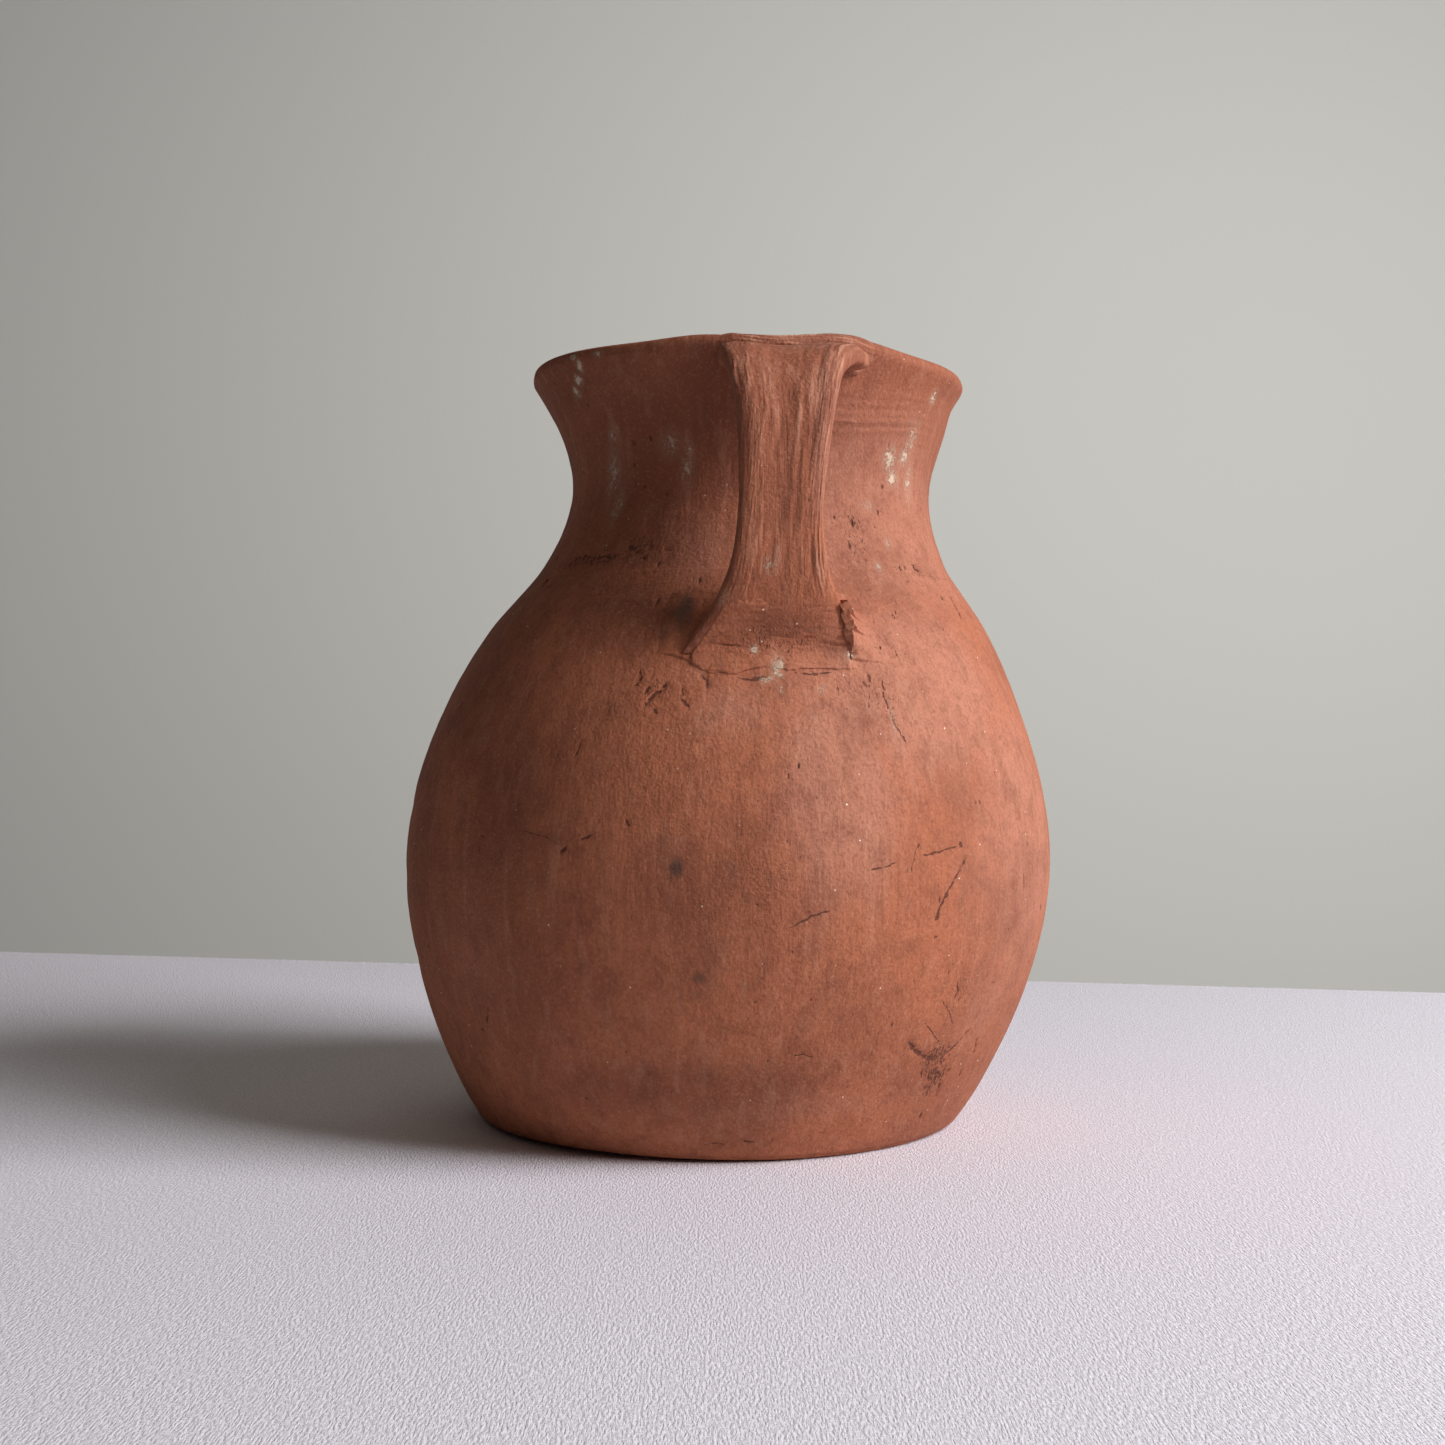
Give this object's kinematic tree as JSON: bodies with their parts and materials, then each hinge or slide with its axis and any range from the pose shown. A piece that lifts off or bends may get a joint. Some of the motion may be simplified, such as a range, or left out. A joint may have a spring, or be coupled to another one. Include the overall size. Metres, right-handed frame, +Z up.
{
  "type": "ceramic pitcher",
  "caption": "Hand-built unglazed terracotta pitcher: full round belly, leaning waisted neck, flared rim with a pulled spout and a broad strap handle.",
  "frame": {"origin": "centre of the underside of the base slab", "axes": "+Z up through the mouth, -Y towards the handle, +Y towards the spout, +X to the right when the handle faces the viewer"},
  "size_m": [0.2139, 0.2138, 0.2476],
  "materials": {
    "base_clay": "unglazed terracotta, cut and scraped, slightly gritty",
    "wall_clay": "unglazed terracotta, scraped and rubbed smooth, with grit pits and fire clouds",
    "neck_clay": "unglazed terracotta, wiped smooth, with pale lime bloom",
    "handle_clay": "unglazed terracotta, drawn along its length with a coarse striated face",
    "luting_clay": "unglazed terracotta, smeared on by thumb, cracked along its edges"
  },
  "bodies": {
    "root": {"base_slab": "base_clay", "lower_wall": "wall_clay", "belly_course_low": "wall_clay", "belly_course_high": "wall_clay", "shoulder": "wall_clay", "neck_collar": "neck_clay", "rim_band": "neck_clay", "handle_strap": "handle_clay", "rim_saddle": "handle_clay", "handle_root_pad": "luting_clay", "handle_root_patch": "luting_clay"}
  },
  "joints": []
}
